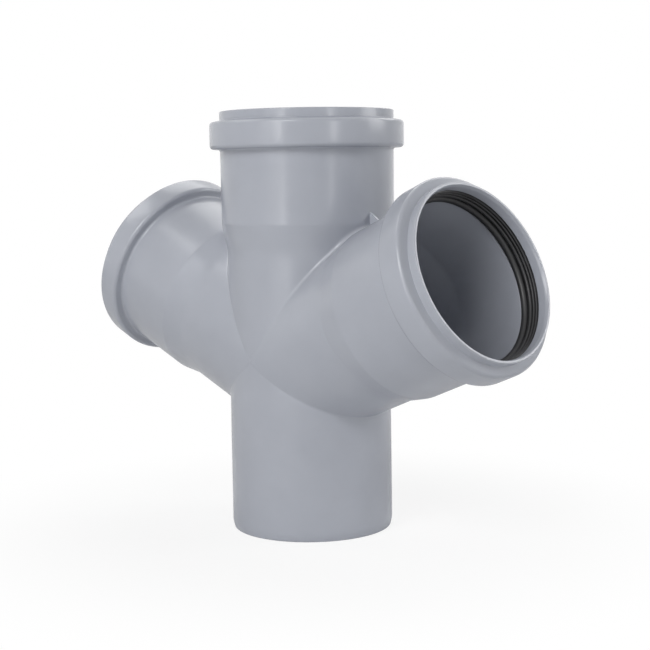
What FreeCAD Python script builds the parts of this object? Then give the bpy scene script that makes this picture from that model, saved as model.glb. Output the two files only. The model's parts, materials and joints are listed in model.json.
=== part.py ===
import FreeCAD, Part
import os

# Cross fitting for 110 mm drain pipe, moulded in one piece, with a rubber lip ring in each of its three sockets.
# All sizes are millimetres. The straight run stands on its spigot: its axis is Z, and z = 0 is the spigot's
# end face. The two branches lie in the XZ plane, one towards +X and one towards -X.
# An arm is a tube with a socket on its end: the run's upper half is one, and each branch is another. An arm's
# sizes are measured along its own axis, either out from the crossing, where the three axes meet, or in from
# its mouth.

# Tubes
pipe_radius = 55.0            # outside of the pipe, which the spigot copies and the sockets take
tube_radius = 54.9            # outside of the arms' tubes, a touch slimmer than the pipe
tube_wall = 2.9
branch_angle = 67.5           # degrees between the run's upper half and each branch
run_reach = 166.0             # from the crossing up to the top socket's mouth
branch_reach = 166.0          # from the crossing out to a branch socket's mouth

# Spigot, the plain lower end of the run
spigot_reach = 117.0          # from the crossing down to the spigot's end
spigot_grip = 74.0            # the stretch that enters another socket, at the pipe's own radius
spigot_blend = 4.0            # above it, where the run draws in to the tube's radius
spigot_bevel_length = 4.0     # lead-in at its end
spigot_bevel_depth = 1.0

# Socket, the same on all three arms
socket_play = 0.5             # radial, between the pipe and the socket's bore
socket_wall = 2.9
socket_depth = 71.6           # from the mouth to the shoulder, where the pipe stops
shoulder_length = 17.0        # the cone between the tube and the socket
shoulder_lag = 3.3            # the outside cone lies this much deeper than the inside one

# Collar round the ring's groove, and the lip in front of it
lip_length = 5.9              # from the mouth to the collar's front
lip_play = 1.0                # radial, between the pipe and the lip's bore
lip_wall = 2.7
entry_bevel_length = 2.0      # lead-in at the mouth
entry_bevel_depth = 0.9
collar_length = 19.2
collar_wall = 2.9
collar_slope = 1.4            # the front face falls this much towards its rim
collar_bevel_length = 2.2     # on the rim of the front face
collar_bevel_depth = 1.5
groove_inset = 7.6            # from the mouth to the groove's front face
groove_length = 14.4
groove_depth = 7.1            # below the socket's bore

# Lip ring, drawn as a pipe has pressed it back
ring_gap = 0.15               # between the ring and the groove's walls
ridge_play = 0.3              # radial, between the pipe and the ridges
ridge_insets = (1.8, 5.6, 10.2)   # from the ring's front to each ridge
ridge_height = 2.0            # the valleys between the ridges are this deep

# Web in the crotch between the top socket and each branch socket
web_thickness = 1.4
web_height = 99.3             # from the crossing, along each arm, to the web's free edge

# Length that a cutting tool runs past the face it leaves through
overrun = 5.0

bore_radius = tube_radius - tube_wall
socket_bore_radius = pipe_radius + socket_play
socket_radius = socket_bore_radius + socket_wall
lip_bore_radius = pipe_radius + lip_play
lip_radius = lip_bore_radius + lip_wall
groove_radius = socket_bore_radius + groove_depth
collar_radius = groove_radius + collar_wall

origin = FreeCAD.Vector(0, 0, 0)
x_axis = FreeCAD.Vector(1, 0, 0)
y_axis = FreeCAD.Vector(0, 1, 0)
z_axis = FreeCAD.Vector(0, 0, 1)
crossing = FreeCAD.Vector(0, 0, spigot_reach)


def turned(corners):
    """Solid turned once about Z from the (radius, height) corners of its half section."""
    points = [FreeCAD.Vector(radius, 0, height) for radius, height in corners]
    section = Part.Face(Part.makePolygon(points + points[:1]))
    return section.revolve(origin, z_axis, 360)


def arm_outside(reach):
    """Tube, shoulder, socket, collar and lip as one turned solid, from the crossing at z = 0 up to the mouth."""
    shoulder_top = reach - socket_depth - shoulder_lag
    shoulder_foot = shoulder_top - shoulder_length
    collar_front = reach - lip_length
    collar_rear = collar_front - collar_length
    rim = collar_front - collar_slope
    return turned([
        (0, 0),
        (tube_radius, 0),
        (tube_radius, shoulder_foot),
        (socket_radius, shoulder_top),
        (socket_radius, collar_rear),
        (collar_radius, collar_rear),
        (collar_radius, rim - collar_bevel_length),
        (collar_radius - collar_bevel_depth, rim),
        (lip_radius, collar_front),
        (lip_radius, reach),
        (0, reach),
    ])


def arm_inside(reach):
    """The space in an arm as one turned solid: bore, shoulder, socket, ring groove and mouth."""
    shoulder_top = reach - socket_depth
    shoulder_foot = shoulder_top - shoulder_length
    groove_front = reach - groove_inset
    groove_rear = groove_front - groove_length
    return turned([
        (0, 0),
        (bore_radius, 0),
        (bore_radius, shoulder_foot),
        (socket_bore_radius, shoulder_top),
        (socket_bore_radius, groove_rear),
        (groove_radius, groove_rear),
        (groove_radius, groove_front),
        (lip_bore_radius, groove_front),
        (lip_bore_radius, reach - entry_bevel_length),
        (lip_bore_radius + entry_bevel_depth, reach),
        (lip_bore_radius + entry_bevel_depth, reach + overrun),
        (0, reach + overrun),
    ])


def spigot_outside():
    """The run's lower half, from the crossing at z = 0 down to its bevelled end."""
    end = -spigot_reach
    grip_top = end + spigot_grip
    return turned([
        (0, 0),
        (0, end),
        (pipe_radius - spigot_bevel_depth, end),
        (pipe_radius, end + spigot_bevel_length),
        (pipe_radius, grip_top),
        (tube_radius, grip_top + spigot_blend),
        (tube_radius, 0),
    ])


def spigot_inside():
    """The bore of the run's lower half, out past the spigot's end."""
    return Part.makeCylinder(bore_radius, spigot_reach + overrun, origin, -z_axis)


def leaned(shape, side):
    """A shape of an upright arm, turned over to a branch: side is 1 towards +X and -1 towards -X."""
    copy = shape.copy()
    copy.rotate(origin, y_axis, side * branch_angle)
    return copy


def web():
    """Thin plate in the crotch on the +X side, from the crossing out to its free edge, before the bores are cut.
    The free edge ends in the middle of both sockets' walls."""
    mid_wall = socket_bore_radius + socket_wall / 2
    on_run = FreeCAD.Vector(mid_wall, 0, web_height)
    on_branch = FreeCAD.Rotation(y_axis, branch_angle).multVec(FreeCAD.Vector(-mid_wall, 0, web_height))
    plate = Part.Face(Part.makePolygon([origin, on_run, on_branch, origin]))
    plate.translate(-y_axis * (web_thickness / 2))
    return plate.extrude(y_axis * web_thickness)


def body():
    """The moulded body: three arms and the spigot, with webs in the upper crotches, then bored out."""
    branch = arm_outside(branch_reach)
    run = arm_outside(run_reach).fuse(spigot_outside()).removeSplitter()
    right_web = web()
    left_web = right_web.mirror(origin, x_axis)
    solid = run.fuse([leaned(branch, 1), leaned(branch, -1), right_web, left_web])
    branch_space = arm_inside(branch_reach)
    return solid.cut([
        arm_inside(run_reach),
        spigot_inside(),
        leaned(branch_space, 1),
        leaned(branch_space, -1),
    ])


def seal_ring(reach):
    """Lip ring in the groove of an upright arm: it fills the groove's floor and has sharp ridges inside."""
    outer_radius = groove_radius - ring_gap
    front = reach - groove_inset - ring_gap
    rear = reach - groove_inset - groove_length + ring_gap
    tip_radius = pipe_radius + ridge_play
    section = [(outer_radius, rear), (outer_radius, front)]
    for number, inset in enumerate(ridge_insets):
        if number > 0:
            halfway = (ridge_insets[number - 1] + inset) / 2
            section.append((tip_radius + ridge_height, front - halfway))
        section.append((tip_radius, front - inset))
    return turned(section)


def save(name, shape):
    """One STEP file for each piece, lifted so that the spigot's end stands on z = 0."""
    placed = shape.copy()
    placed.translate(crossing)
    placed.exportStep("parts/" + name + ".step")


os.makedirs("parts", exist_ok=True)
save("fitting_body", body())
save("top_seal_ring", seal_ring(run_reach))
save("right_seal_ring", leaned(seal_ring(branch_reach), 1))
save("left_seal_ring", leaned(seal_ring(branch_reach), -1))
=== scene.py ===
import json
import math

import bmesh
import bpy
import numpy as np
from mathutils import Matrix, Vector

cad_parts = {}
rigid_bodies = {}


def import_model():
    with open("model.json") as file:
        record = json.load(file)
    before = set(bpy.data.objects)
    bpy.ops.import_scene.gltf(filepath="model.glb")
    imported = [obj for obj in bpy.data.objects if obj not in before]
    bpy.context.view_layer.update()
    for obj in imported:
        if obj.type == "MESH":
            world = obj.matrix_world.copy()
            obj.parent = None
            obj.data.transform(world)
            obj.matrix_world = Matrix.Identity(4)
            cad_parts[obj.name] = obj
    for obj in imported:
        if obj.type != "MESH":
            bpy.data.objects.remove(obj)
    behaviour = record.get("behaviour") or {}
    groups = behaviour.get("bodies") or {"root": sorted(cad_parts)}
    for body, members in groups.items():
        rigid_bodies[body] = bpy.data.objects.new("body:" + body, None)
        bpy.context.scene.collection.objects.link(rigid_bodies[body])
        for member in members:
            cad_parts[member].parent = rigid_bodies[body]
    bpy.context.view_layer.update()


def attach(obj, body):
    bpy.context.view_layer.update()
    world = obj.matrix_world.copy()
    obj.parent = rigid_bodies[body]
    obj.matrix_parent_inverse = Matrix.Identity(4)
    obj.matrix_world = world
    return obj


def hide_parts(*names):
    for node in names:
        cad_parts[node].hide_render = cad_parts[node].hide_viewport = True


for leftover in list(bpy.data.objects):
    bpy.data.objects.remove(leftover)
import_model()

# Lengths are millimetres up to the point where a mesh is made, and metres in Blender. Each arm has its own
# axis, and a station is a distance along it, counted from the crossing, where the three axes meet.
MM = 0.001

# Driving sizes. The spigot copies the pipe, and the sockets take it.
PIPE_RADIUS = 55.0
TUBE_RADIUS = 54.9
WALL = 2.9                    # of the tubes, the sockets and the collars
LIP_WALL = 2.7
SOCKET_PLAY = 0.5             # radial, as the lip's is, between the pipe and the bore
LIP_PLAY = 1.0
GROOVE_DEPTH = 7.1            # below the socket's bore
BRANCH_ANGLE = math.radians(67.5)
SPIGOT_END = 117.0            # station of the spigot's end face
MOUTH = 166.0                 # station of an arm's mouth

# Axes of the arms
CROSSING = np.array((0.0, 0.0, SPIGOT_END))
UP = np.array((0.0, 0.0, 1.0))
DOWN = -UP
RIGHT = np.array((math.sin(BRANCH_ANGLE), 0.0, math.cos(BRANCH_ANGLE)))
LEFT = RIGHT * (-1.0, 1.0, 1.0)
ACROSS = np.array((0.0, 1.0, 0.0))

# Radii
BORE_RADIUS = TUBE_RADIUS - WALL
SOCKET_BORE_RADIUS = PIPE_RADIUS + SOCKET_PLAY
SOCKET_RADIUS = SOCKET_BORE_RADIUS + WALL
SOCKET_ROOT_RADIUS = SOCKET_RADIUS + 0.2      # by the collar, where the socket has grown a little
GROOVE_RADIUS = SOCKET_BORE_RADIUS + GROOVE_DEPTH
COLLAR_RADIUS = GROOVE_RADIUS + WALL
LIP_BORE_RADIUS = PIPE_RADIUS + LIP_PLAY
LIP_RADIUS = LIP_BORE_RADIUS + LIP_WALL
ENTRY_RADIUS = LIP_BORE_RADIUS + 0.9          # at the mouth, the wide end of the lip's lead-in
SPIGOT_TIP_RADIUS = PIPE_RADIUS - 1.2

# Stations on an arm. Above PLAIN_FROM it is a plain turned shape. Below it, its columns reach down to a
# seam. The outside of the shoulder lies a little deeper than the inside.
ENTRY_FOOT = MOUTH - 2.0
COLLAR_FRONT = MOUTH - 5.9
COLLAR_RIM = COLLAR_FRONT - 1.4
COLLAR_REAR = COLLAR_FRONT - 19.2
GROOVE_FRONT = MOUTH - 7.6
GROOVE_REAR = GROOVE_FRONT - 14.4
PLAIN_FROM = 100.0
SHOULDER_LENGTH = 17.0
SHOULDER_TOP_INSIDE = MOUTH - 71.6
SHOULDER_TOP_OUTSIDE = SHOULDER_TOP_INSIDE - 3.3
SHOULDER_FOOT_INSIDE = SHOULDER_TOP_INSIDE - SHOULDER_LENGTH
SHOULDER_FOOT_OUTSIDE = SHOULDER_TOP_OUTSIDE - SHOULDER_LENGTH

# Stations on the spigot: the step from the tube's radius to the pipe's, and the start of the lead-in.
STEP_START = 41.0
STEP_END = 43.0
LEAD_IN = SPIGOT_END - 4.5

# Half section of an arm, as (station, radius, rounding) corners.
WALL_OUTSIDE = [
    (0.0, TUBE_RADIUS, 0.0),
    (SHOULDER_FOOT_OUTSIDE, TUBE_RADIUS, 2.0),
    (SHOULDER_TOP_OUTSIDE, SOCKET_RADIUS, 1.5),
    (COLLAR_REAR, SOCKET_ROOT_RADIUS, 1.8),
    (COLLAR_REAR, COLLAR_RADIUS, 2.6),
    (COLLAR_RIM, COLLAR_RADIUS, 2.5),
    (COLLAR_FRONT, LIP_RADIUS, 0.4),
    (MOUTH, LIP_RADIUS, 0.7),
    (MOUTH, ENTRY_RADIUS, 0.4),
    (ENTRY_FOOT, LIP_BORE_RADIUS, 1.5),
    (GROOVE_FRONT, LIP_BORE_RADIUS, 0.3),
    (GROOVE_FRONT, GROOVE_RADIUS, 0.3),
    (GROOVE_REAR, GROOVE_RADIUS, 0.3),
    (GROOVE_REAR, SOCKET_BORE_RADIUS, 0.5),
    (PLAIN_FROM, SOCKET_BORE_RADIUS, 0.0),
]
WALL_INSIDE = [
    (0.0, BORE_RADIUS, 0.0),
    (SHOULDER_FOOT_INSIDE, BORE_RADIUS, 0.8),
    (SHOULDER_TOP_INSIDE, SOCKET_BORE_RADIUS, 0.8),
    (PLAIN_FROM, SOCKET_BORE_RADIUS, 0.0),
]
# Half section of the spigot, with its lead-in.
SPIGOT_OUTSIDE = [
    (0.0, TUBE_RADIUS, 0.0),
    (STEP_START, TUBE_RADIUS, 0.0),
    (STEP_END, PIPE_RADIUS, 0.0),
    (LEAD_IN, PIPE_RADIUS, 14.0),
    (SPIGOT_END, SPIGOT_TIP_RADIUS, 1.0),
    (SPIGOT_END, BORE_RADIUS, 0.4),
    (PLAIN_FROM, BORE_RADIUS, 0.0),
]
SPIGOT_INSIDE = [
    (0.0, BORE_RADIUS, 0.0),
    (PLAIN_FROM, BORE_RADIUS, 0.0),
]

# Mesh of the walls: points round an arm, the largest turn in one step of a rounding, the distances of the
# first rows from the seam, and then the rows' shares of the way up to PLAIN_FROM, closest at the shoulders.
COLUMNS = 160
ARC_STEP = math.radians(15.0)
SEAM_ROWS = (0.0, 0.3, 0.7, 1.2, 1.8, 2.5, 3.5, 5.0)
OUTSIDE_ROWS = np.concatenate((np.linspace(0.0, 0.70, 9)[1:-1], np.linspace(0.70, 0.92, 26), (0.95,)))
INSIDE_ROWS = np.concatenate((np.linspace(0.0, 0.7, 5)[1:-1], np.linspace(0.7, 1.0, 12)[:-1]))
WELD_DISTANCE = 2e-6          # metres
BODY_SHARP_ANGLE = math.radians(40.0)
RING_SHARP_ANGLE = math.radians(50.0)

# Fillets along the seams: their radius, the rows that they can reach, and how points are settled onto them.
SEAM_FILLET = 2.5
SETTLED_ROWS = len(SEAM_ROWS) + 2
SEAM_PASSES = 60              # that find the seam's station on each column
SETTLE_PASSES = 8
SETTLE_STRIDE = 1.0           # the furthest that one pass moves a point
SHALLOWEST_SLOPE = 0.25       # squared, of the distance
PROBE = 0.01                  # half the step over which a slope is measured
NEARLY_PARALLEL = 1e-3        # squared sine of the angle between two outsides
TINY = 1e-9

# The webs' first and last stations: the first is inside the wall where the arms' outsides meet.
WEB_THICKNESS = 1.4
WEB_START = 80.5
WEB_EDGE = 99.3
WEB_SINK = 1.2
WEB_ROWS = 10
WEB_COLUMNS = 9

# Lip ring: a body in the groove, then four rounded ridges as (front station, rear station, crest radius).
RING_GAP = 0.15
RING_FRONT = GROOVE_FRONT - RING_GAP
RING_REAR = GROOVE_REAR + RING_GAP
RING_RADIUS = GROOVE_RADIUS - RING_GAP
RING_FOOT = 56.1
RING_REAR_FOOT = 56.9
RIDGES = ((157.6, 156.1, 55.2), (155.8, 153.9, 54.8), (153.6, 150.6, 54.2), (150.2, 144.9, 52.9))
RIDGE_STEPS = 14

# Colours as the shader takes them, each as the darker and the lighter end of its clouds.
PLASTIC_COLOURS = (0.375, 0.392, 0.440, 1.0), (0.405, 0.423, 0.472, 1.0)
RUBBER_COLOURS = (0.012, 0.012, 0.013, 1.0), (0.026, 0.026, 0.028, 1.0)
WHITE = (1.0, 1.0, 1.0, 1.0)
FLOOR_COLOUR = (0.86, 0.86, 0.86, 1.0)

# Studio, in metres. These kinds of ray see a white backdrop, and the rest of the light from it is AMBIENT.
# The shadow is at its full share up to SHADOW_CORE from the middle of the floor, and ends at SHADOW_REACH.
BACKDROP_RAYS = ("Is Camera Ray", "Is Glossy Ray", "Is Transmission Ray")
AMBIENT = 0.045
FLOOR_RADIUS = 3.0
FLOOR_SIDES = 96
SHADOW_CORE = 0.10
SHADOW_REACH = 0.30
SHADOW_SHARE = 0.16

# Lamps: name, bearing and elevation in degrees, distance and size in metres, and watts. A bearing is counted
# from the camera's, to the right as the camera sees it, so a lamp at 0 is over the camera.
LAMP_TARGET = Vector((0.0, 0.0, 0.15))
LAMPS = (
    ("key", -31.0, 36.0, 2.4, (1.2, 1.0), 30.5),
    ("left_band", -32.0, 7.0, 2.4, (0.28, 0.7), 4.0),
    ("left_box", -44.0, 10.0, 2.4, (0.9, 1.2), 4.0),
    ("right_band", 31.0, 7.0, 2.4, (0.14, 0.7), 3.5),
    ("right_fill", 90.0, 22.0, 2.2, (1.0, 1.2), 17.0),
    ("right_rim", 140.0, 38.0, 2.2, (1.2, 0.8), 6.0),
    ("left_rim", -108.0, 50.0, 2.2, (0.8, 0.8), 6.0),
    ("back_fill", 180.0, 50.0, 2.2, (1.2, 1.2), 8.0),
)

# The camera stands where a fit to the photograph's outlines puts it, in millimetres from the crossing and in
# radians. Its lens and sensor are in millimetres too.
CAMERA_DISTANCE = 967.32
CAMERA_AZIMUTH = -0.76766
CAMERA_HEIGHT = 122.81
CAMERA_YAW = -0.01079
CAMERA_PITCH = 0.10500
CAMERA_ROLL = 0.01512
CAMERA_LENS = 78.71
CAMERA_SENSOR = 36.0


def rounded(corners):
    """The corners of a section as a line of (station, radius) points, with an arc in each rounded corner."""
    points = []
    for number, (station, radius, rounding) in enumerate(corners):
        here = np.array((station, radius))
        if rounding == 0.0:
            points.append(here)
            continue
        before = np.array(corners[number - 1][:2]) - here
        after = np.array(corners[number + 1][:2]) - here
        before = before / np.linalg.norm(before)
        after = after / np.linalg.norm(after)
        half_opening = math.acos(np.clip(before @ after, -1.0, 1.0)) / 2
        setback = rounding / math.tan(half_opening)
        bisector = (before + after) / np.linalg.norm(before + after)
        centre = here + bisector * (rounding / math.sin(half_opening))
        first = here + before * setback - centre
        last = here + after * setback - centre
        turn = math.pi - 2 * half_opening
        steps = max(2, math.ceil(turn / ARC_STEP))
        for step in range(steps + 1):
            share = step / steps
            spoke = first * math.sin((1 - share) * turn) + last * math.sin(share * turn)
            points.append(centre + spoke / math.sin(turn))
    return np.array(points)


def radius_at(section, stations):
    """Radius of a section at these stations, where it is a function of the station."""
    return np.interp(stations, section[:, 0], section[:, 1])


def slender(outside):
    """The start of an arm's outside, up to just past the station where it becomes a plain turned shape."""
    return outside[:np.argmax(outside[:, 0] > PLAIN_FROM) + 1]


class Arm:
    """A tube on one axis. Its columns start at the seams with its two neighbours, in the planes that halve
    the angles between the axes, and azimuth 0 points towards the first neighbour."""

    def __init__(self, axis, neighbours, outside, inside):
        self.axis = axis
        self.outside = rounded(outside)
        self.slender = slender(self.outside)
        self.inside = rounded(inside)
        toward = neighbours[0] - axis * (neighbours[0] @ axis)
        self.toward = toward / np.linalg.norm(toward)
        self.azimuths = np.arange(COLUMNS) * 2 * math.pi / COLUMNS
        first, second = (math.tan(math.acos(axis @ neighbour) / 2) for neighbour in neighbours)
        reach = np.cos(self.azimuths)
        self.seam_slope = np.where(reach > 0, reach / first, -reach / second)

    def seam(self, section):
        """Station of the seam on each column of this section."""
        stations = np.zeros(COLUMNS)
        for _ in range(SEAM_PASSES):
            stations = self.seam_slope * radius_at(section, stations)
        return stations

    def place(self, stations, radii):
        """Points at these stations and radii, one row of them for each station of every column."""
        outward = np.cos(self.azimuths)[:, None] * self.toward + np.sin(self.azimuths)[:, None] * ACROSS
        return stations[..., None] * self.axis + radii[..., None] * outward[:, None, :]

    def turned(self, section):
        """Points of a section's (station, radius) corners on every column."""
        return self.place(*(np.tile(values, (COLUMNS, 1)) for values in section.T))

    def columns(self):
        """Points of every column: up the outside from the seam, round the mouth and down the inside."""
        near = self.seam(self.slender)[:, None] + np.array(SEAM_ROWS)
        far = near[:, -1:] + (PLAIN_FROM - near[:, -1:]) * OUTSIDE_ROWS
        start = np.concatenate((near, far), axis=1)
        plain = self.outside[np.argmax(self.outside[:, 0] >= PLAIN_FROM):]
        bottom = self.seam(self.inside)[:, None]
        finish = bottom + (PLAIN_FROM - bottom) * np.append(INSIDE_ROWS[::-1], 0.0)
        return np.concatenate((
            self.place(start, radius_at(self.slender, start)),
            self.turned(plain),
            self.place(finish, radius_at(self.inside, finish)),
        ), axis=1)

    def outside_distance(self, points):
        """Distance of points from the arm's outside, negative in the material. Behind the crossing it is the
        distance from the arm's flat end."""
        station = points @ self.axis
        radius = np.linalg.norm(points - station[:, None] * self.axis, axis=1)
        gap = radius - radius_at(self.slender, station)
        return np.where(station > 0, gap, np.hypot(np.maximum(gap, 0), station))


def gradient(distance, points):
    """Slope of a distance function at each point."""
    slope = np.empty_like(points)
    for axis in range(3):
        shift = np.zeros(3)
        shift[axis] = PROBE
        slope[:, axis] = (distance(points + shift) - distance(points - shift)) / (2 * PROBE)
    return slope


def filleted_distance(points, pairs):
    """Distance from the outside of the joined arms, with a ball's fillet along the seam of each pair."""
    nearest = np.full(len(points), np.inf)
    for pair in pairs:
        gaps = [arm.outside_distance(points) for arm in pair]
        slopes = [gradient(arm.outside_distance, points) for arm in pair]
        normals = [slope / np.maximum(np.linalg.norm(slope, axis=1), TINY)[:, None] for slope in slopes]
        cosine = np.sum(normals[0] * normals[1], axis=1)
        sine_squared = 1 - cosine ** 2
        a = gaps[0] - SEAM_FILLET
        b = gaps[1] - SEAM_FILLET
        reach_squared = np.maximum(a * a + b * b - 2 * cosine * a * b, 0)
        ball = SEAM_FILLET - np.sqrt(reach_squared / np.maximum(sine_squared, NEARLY_PARALLEL))
        in_fillet = (a < cosine * b) & (b < cosine * a) & (sine_squared > NEARLY_PARALLEL)
        nearest = np.minimum(nearest, np.where(in_fillet, ball, np.minimum(gaps[0], gaps[1])))
    return nearest


def settle(points, pairs):
    """Points near the seams, moved out onto the fillets."""
    for _ in range(SETTLE_PASSES):
        gap = filleted_distance(points, pairs)
        slope = gradient(lambda places: filleted_distance(places, pairs), points)
        steepness = np.maximum(np.sum(slope * slope, axis=1), SHALLOWEST_SLOPE)
        points = points - (np.clip(gap, -SETTLE_STRIDE, SETTLE_STRIDE) / steepness)[:, None] * slope
    return points


def mesh_piece(name, points, faces, material, sharp_angle):
    """A smooth-shaded object from points in millimetres, with sharp edges above an angle."""
    mesh = bpy.data.meshes.new(name)
    mesh.from_pydata(((points + CROSSING) * MM).tolist(), [], faces)
    shape = bmesh.new()
    shape.from_mesh(mesh)
    bmesh.ops.remove_doubles(shape, verts=shape.verts, dist=WELD_DISTANCE)
    bmesh.ops.recalc_face_normals(shape, faces=shape.faces)
    shape.to_mesh(mesh)
    shape.free()
    mesh.shade_smooth()
    mesh.set_sharp_from_angle(angle=sharp_angle)
    mesh.materials.append(material)
    piece = bpy.data.objects.new(name, mesh)
    bpy.context.scene.collection.objects.link(piece)
    return piece


def grid_faces(rows, offset, closed):
    """Faces between the neighbouring columns of an arm's grid, whose first point has the number offset.
    Closed joins the last row of points of a column to its first."""
    faces = []
    steps = rows if closed else rows - 1
    for column in range(COLUMNS):
        here = offset + column * rows
        there = offset + (column + 1) % COLUMNS * rows
        for row in range(steps):
            up = (row + 1) % rows
            faces.append((here + row, there + row, there + up, here + up))
    return faces


def web_sheet(side):
    """Points of the middle sheet of the web between the run and one branch, from wall to wall in each row.
    side is 1 for the right branch and -1 for the left one."""
    axis = RIGHT if side > 0 else LEFT
    from_run = np.array((side, 0.0, 0.0))
    from_branch = np.array((-math.cos(BRANCH_ANGLE) * side, 0.0, math.sin(BRANCH_ANGLE)))
    stations = np.linspace(WEB_START, WEB_EDGE, WEB_ROWS)[:, None]
    radii = radius_at(slender(rounded(WALL_OUTSIDE)), stations) - WEB_SINK
    run = stations * UP + radii * from_run
    branch = stations * axis + radii * from_branch
    shares = np.linspace(0.0, 1.0, WEB_COLUMNS)
    sheet = run[:, None, :] + (branch - run)[:, None, :] * shares[None, :, None]
    return sheet.reshape(-1, 3)


def web_piece(side):
    """Points and faces of one web, a thin closed plate whose edges are sunk in both walls."""
    sheet = web_sheet(side)
    half = ACROSS * (WEB_THICKNESS / 2)
    count = len(sheet)
    faces = []
    for row in range(WEB_ROWS - 1):
        for column in range(WEB_COLUMNS - 1):
            a = row * WEB_COLUMNS + column
            b = a + WEB_COLUMNS
            faces.append((a, a + 1, b + 1, b))
            faces.append((a + count, b + count, b + 1 + count, a + 1 + count))
    numbers = np.arange(count).reshape(WEB_ROWS, WEB_COLUMNS)
    border = np.concatenate((numbers[0], numbers[1:, -1], numbers[-1, -2::-1], numbers[-2:0:-1, 0])).tolist()
    for a, b in zip(border, border[1:] + border[:1]):
        faces.append((b, a, a + count, b + count))
    return np.concatenate((sheet - half, sheet + half)), faces


def body_piece(material):
    """The moulded body as one mesh: three arms and the spigot joined at their seams, and the two webs."""
    top = Arm(UP, (RIGHT, LEFT), WALL_OUTSIDE, WALL_INSIDE)
    right = Arm(RIGHT, (UP, DOWN), WALL_OUTSIDE, WALL_INSIDE)
    left = Arm(LEFT, (UP, DOWN), WALL_OUTSIDE, WALL_INSIDE)
    spigot = Arm(DOWN, (RIGHT, LEFT), SPIGOT_OUTSIDE, SPIGOT_INSIDE)
    pairs = [(upright, branch) for upright in (top, spigot) for branch in (right, left)]
    points = []
    faces = []
    offset = 0
    for arm in (top, right, left, spigot):
        grid = arm.columns()
        near_seam = grid[:, :SETTLED_ROWS]
        grid[:, :SETTLED_ROWS] = settle(near_seam.reshape(-1, 3), pairs).reshape(near_seam.shape)
        rows = grid.shape[1]
        points.append(grid.reshape(-1, 3))
        faces += grid_faces(rows, offset, closed=False)
        offset += rows * COLUMNS
    for side in (1, -1):
        web_points, web_faces = web_piece(side)
        points.append(web_points)
        faces += [tuple(corner + offset for corner in face) for face in web_faces]
        offset += len(web_points)
    return mesh_piece("moulded_body", np.concatenate(points), faces, material, BODY_SHARP_ANGLE)


def ring_section():
    """Half section of a lip ring: a block in the groove, and rounded ridges that a pipe presses back."""
    points = [(RING_REAR, RING_RADIUS), (RING_FRONT, RING_RADIUS), (RING_FRONT, RING_FOOT)]
    for front, rear, crest in RIDGES:
        for step in range(RIDGE_STEPS + 1):
            turn = math.pi * step / RIDGE_STEPS
            station = (front + rear) / 2 + (front - rear) / 2 * math.cos(turn)
            points.append((station, RING_FOOT - (RING_FOOT - crest) * math.sin(turn)))
    points.append((RING_REAR, RING_REAR_FOOT))
    return np.array(points)


def ring_piece(name, axis, neighbours, material):
    """A lip ring on one arm."""
    section = ring_section()
    points = Arm(axis, neighbours, WALL_OUTSIDE, WALL_INSIDE).turned(section).reshape(-1, 3)
    faces = grid_faces(len(section), 0, closed=True)
    return mesh_piece(name, points, faces, material, RING_SHARP_ANGLE)


def new_material(name):
    """A node material with its Principled shader, as (material, nodes, links, shader)."""
    material = bpy.data.materials.new(name)
    material.use_nodes = True
    nodes = material.node_tree.nodes
    return material, nodes, material.node_tree.links, nodes["Principled BSDF"]


def noise(nodes, links, coordinates, scale, detail, roughness):
    """A noise texture on object coordinates, whose scale counts features in a metre."""
    texture = nodes.new("ShaderNodeTexNoise")
    texture.inputs["Scale"].default_value = scale
    texture.inputs["Detail"].default_value = detail
    texture.inputs["Roughness"].default_value = roughness
    links.new(coordinates, texture.inputs["Vector"])
    return texture.outputs["Fac"]


def spread(nodes, links, value, low, high):
    """A noise value, whose middle range is 0.3 to 0.7, mapped onto low to high."""
    mapping = nodes.new("ShaderNodeMapRange")
    mapping.inputs["From Min"].default_value = 0.3
    mapping.inputs["From Max"].default_value = 0.7
    mapping.inputs["To Min"].default_value = low
    mapping.inputs["To Max"].default_value = high
    links.new(value, mapping.inputs["Value"])
    return mapping.outputs["Result"]


def cloudy_colour(nodes, links, clouds, colours, shader):
    """Gives the shader a base colour that drifts between two colours with a noise value."""
    mix = nodes.new("ShaderNodeMix")
    mix.data_type = "RGBA"
    mix.inputs["A"].default_value, mix.inputs["B"].default_value = colours
    links.new(spread(nodes, links, clouds, low=0.0, high=1.0), mix.inputs["Factor"])
    links.new(mix.outputs["Result"], shader.inputs["Base Color"])


def bump(nodes, links, height, strength, depth):
    """A bump node for this height, whose depth is in metres."""
    node = nodes.new("ShaderNodeBump")
    node.inputs["Strength"].default_value = strength
    node.inputs["Distance"].default_value = depth
    links.new(height, node.inputs["Height"])
    return node


def maths(nodes, links, operation, first, second):
    """Two values put together by a math node."""
    node = nodes.new("ShaderNodeMath")
    node.operation = operation
    links.new(first, node.inputs[0])
    links.new(second, node.inputs[1])
    return node.outputs["Value"]


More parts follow.
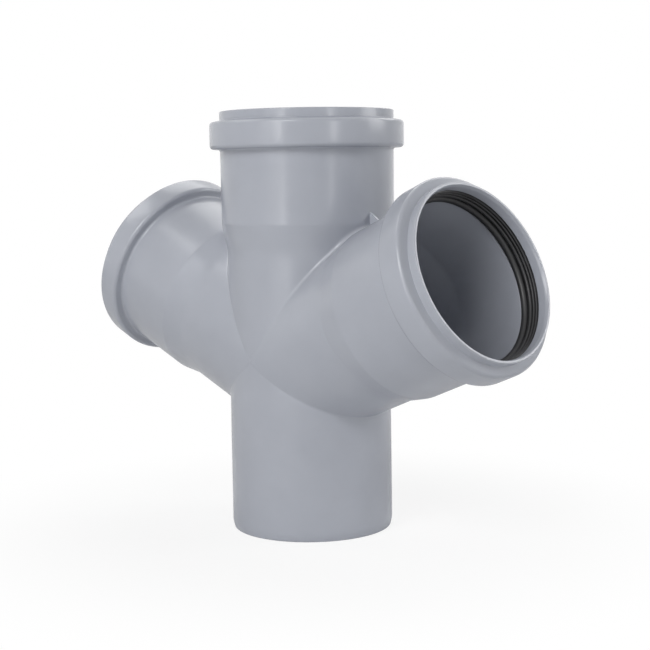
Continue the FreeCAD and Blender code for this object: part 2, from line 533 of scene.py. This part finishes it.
def plastic_material():
    """Light grey satin polypropylene: faint clouds in the colour, a moulded orange-peel skin, and a gloss
    that is uneven and rubbed duller in upright streaks."""
    material, nodes, links, shader = new_material("grey_moulded_plastic")
    coordinates = nodes.new("ShaderNodeTexCoord").outputs["Object"]
    clouds = noise(nodes, links, coordinates, scale=22.0, detail=4.0, roughness=0.55)
    cloudy_colour(nodes, links, clouds, PLASTIC_COLOURS, shader)
    gloss = noise(nodes, links, coordinates, scale=60.0, detail=5.0, roughness=0.6)
    upright = nodes.new("ShaderNodeMapping")
    upright.inputs["Scale"].default_value = (1.0, 1.0, 0.12)
    links.new(coordinates, upright.inputs["Vector"])
    streaks = noise(nodes, links, upright.outputs["Vector"], scale=240.0, detail=4.0, roughness=0.65)
    dullness = spread(nodes, links, gloss, low=0.18, high=0.22)
    rubbed = spread(nodes, links, streaks, low=0.0, high=0.05)
    links.new(maths(nodes, links, "ADD", dullness, rubbed), shader.inputs["Roughness"])
    shader.inputs["IOR"].default_value = 1.49
    skin = noise(nodes, links, coordinates, scale=420.0, detail=3.0, roughness=0.5)
    grain = noise(nodes, links, coordinates, scale=2600.0, detail=2.0, roughness=0.5)
    skin_bump = bump(nodes, links, skin, strength=0.25, depth=0.00004)
    grain_bump = bump(nodes, links, grain, strength=0.2, depth=0.00001)
    links.new(skin_bump.outputs["Normal"], grain_bump.inputs["Normal"])
    links.new(grain_bump.outputs["Normal"], shader.inputs["Normal"])
    return material


def rubber_material():
    """Black moulded rubber, with a slightly powdery bloom."""
    material, nodes, links, shader = new_material("black_seal_rubber")
    coordinates = nodes.new("ShaderNodeTexCoord").outputs["Object"]
    bloom = noise(nodes, links, coordinates, scale=90.0, detail=5.0, roughness=0.6)
    cloudy_colour(nodes, links, bloom, RUBBER_COLOURS, shader)
    links.new(spread(nodes, links, bloom, low=0.38, high=0.5), shader.inputs["Roughness"])
    grain = noise(nodes, links, coordinates, scale=1800.0, detail=3.0, roughness=0.5)
    grain_bump = bump(nodes, links, grain, strength=0.25, depth=0.00002)
    links.new(grain_bump.outputs["Normal"], shader.inputs["Normal"])
    return material


def any_ray(nodes, links, kinds):
    """1 for these kinds of ray, otherwise 0."""
    path = nodes.new("ShaderNodeLightPath")
    total = path.outputs[kinds[0]]
    for kind in kinds[1:]:
        total = maths(nodes, links, "MAXIMUM", total, path.outputs[kind])
    return total


def white_world():
    """A white backdrop for what the camera and reflections see, and a softer even light on the object."""
    world = bpy.data.worlds.new("white_studio")
    bpy.context.scene.world = world
    world.use_nodes = True
    nodes = world.node_tree.nodes
    links = world.node_tree.links
    background = nodes["Background"]
    background.inputs["Color"].default_value = WHITE
    strength = nodes.new("ShaderNodeMapRange")
    strength.inputs["To Min"].default_value = AMBIENT
    strength.inputs["To Max"].default_value = 1.0
    links.new(any_ray(nodes, links, BACKDROP_RAYS), strength.inputs["Value"])
    links.new(strength.outputs["Result"], background.inputs["Strength"])


def floor_material():
    """Pale grey, which the camera sees as white but for a share of the shadow near the object."""
    material, nodes, links, shader = new_material("pale_floor")
    shader.inputs["Base Color"].default_value = FLOOR_COLOUR
    shader.inputs["Roughness"].default_value = 0.8
    coordinates = nodes.new("ShaderNodeTexCoord").outputs["Object"]
    length = nodes.new("ShaderNodeVectorMath")
    length.operation = "LENGTH"
    links.new(coordinates, length.inputs[0])
    shadow = nodes.new("ShaderNodeMapRange")
    shadow.interpolation_type = "SMOOTHSTEP"
    shadow.inputs["From Min"].default_value = SHADOW_CORE
    shadow.inputs["From Max"].default_value = SHADOW_REACH
    shadow.inputs["To Min"].default_value = 1.0 - SHADOW_SHARE
    shadow.inputs["To Max"].default_value = 1.0
    links.new(length.outputs["Value"], shadow.inputs["Value"])
    camera_ray = any_ray(nodes, links, ("Is Camera Ray",))
    white = maths(nodes, links, "MULTIPLY", shadow.outputs["Result"], camera_ray)
    glow = nodes.new("ShaderNodeEmission")
    mix = nodes.new("ShaderNodeMixShader")
    links.new(white, mix.inputs["Fac"])
    links.new(shader.outputs["BSDF"], mix.inputs[1])
    links.new(glow.outputs["Emission"], mix.inputs[2])
    links.new(mix.outputs["Shader"], nodes["Material Output"].inputs["Surface"])
    return material


def floor():
    """The studio's floor, a round sheet under the spigot's end."""
    mesh = bpy.data.meshes.new("studio_floor")
    shape = bmesh.new()
    bmesh.ops.create_circle(shape, cap_ends=True, segments=FLOOR_SIDES, radius=FLOOR_RADIUS)
    shape.to_mesh(mesh)
    shape.free()
    mesh.materials.append(floor_material())
    piece = bpy.data.objects.new("studio_floor", mesh)
    bpy.context.scene.collection.objects.link(piece)


def camera_place():
    """The camera's place in metres."""
    place = np.array((
        CAMERA_DISTANCE * math.cos(CAMERA_AZIMUTH),
        CAMERA_DISTANCE * math.sin(CAMERA_AZIMUTH),
        CAMERA_HEIGHT,
    ))
    return (place + CROSSING) * MM


def camera():
    """The photograph's camera."""
    heading = CAMERA_AZIMUTH + math.pi + CAMERA_YAW
    level = np.array((math.cos(heading), math.sin(heading), 0.0))
    ahead = level * math.cos(CAMERA_PITCH) - UP * math.sin(CAMERA_PITCH)
    right = np.array((math.sin(heading), -math.cos(heading), 0.0))
    down = np.cross(ahead, right)
    rolled_right = math.cos(CAMERA_ROLL) * right + math.sin(CAMERA_ROLL) * down
    rolled_down = math.cos(CAMERA_ROLL) * down - math.sin(CAMERA_ROLL) * right
    data = bpy.data.cameras.new("photo_camera")
    data.lens = CAMERA_LENS
    data.sensor_width = CAMERA_SENSOR
    piece = bpy.data.objects.new("photo_camera", data)
    matrix = Matrix.Identity(4)
    for column, direction in enumerate((rolled_right, -rolled_down, -ahead, camera_place())):
        for row in range(3):
            matrix[row][column] = direction[row]
    piece.matrix_world = matrix
    bpy.context.scene.collection.objects.link(piece)
    bpy.context.scene.camera = piece


def lamp(name, turn, elevation, distance, size, watts):
    """A rectangular lamp that looks at the fitting's middle, its bearing turned from the camera's."""
    place = camera_place()
    bearing = math.atan2(place[1], place[0]) + math.radians(turn)
    flat = math.cos(math.radians(elevation)) * distance
    data = bpy.data.lights.new(name, "AREA")
    data.shape = "RECTANGLE"
    data.size, data.size_y = size
    data.energy = watts
    piece = bpy.data.objects.new(name, data)
    piece.location = LAMP_TARGET + Vector((
        math.cos(bearing) * flat,
        math.sin(bearing) * flat,
        math.sin(math.radians(elevation)) * distance,
    ))
    piece.rotation_euler = (LAMP_TARGET - piece.location).to_track_quat("-Z", "Y").to_euler()
    bpy.context.scene.collection.objects.link(piece)


plastic = plastic_material()
rubber = rubber_material()
body = body_piece(plastic)
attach(body, "root")
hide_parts("fitting_body")
for name, axis, neighbours in (
    ("top_seal_ring", UP, (RIGHT, LEFT)),
    ("right_seal_ring", RIGHT, (UP, DOWN)),
    ("left_seal_ring", LEFT, (UP, DOWN)),
):
    ring = ring_piece(name.replace("_ring", "_lips"), axis, neighbours, rubber)
    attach(ring, "root")
    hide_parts(name)

floor()
white_world()
camera()
for settings in LAMPS:
    lamp(*settings)

bpy.context.scene.view_settings.view_transform = "Standard"
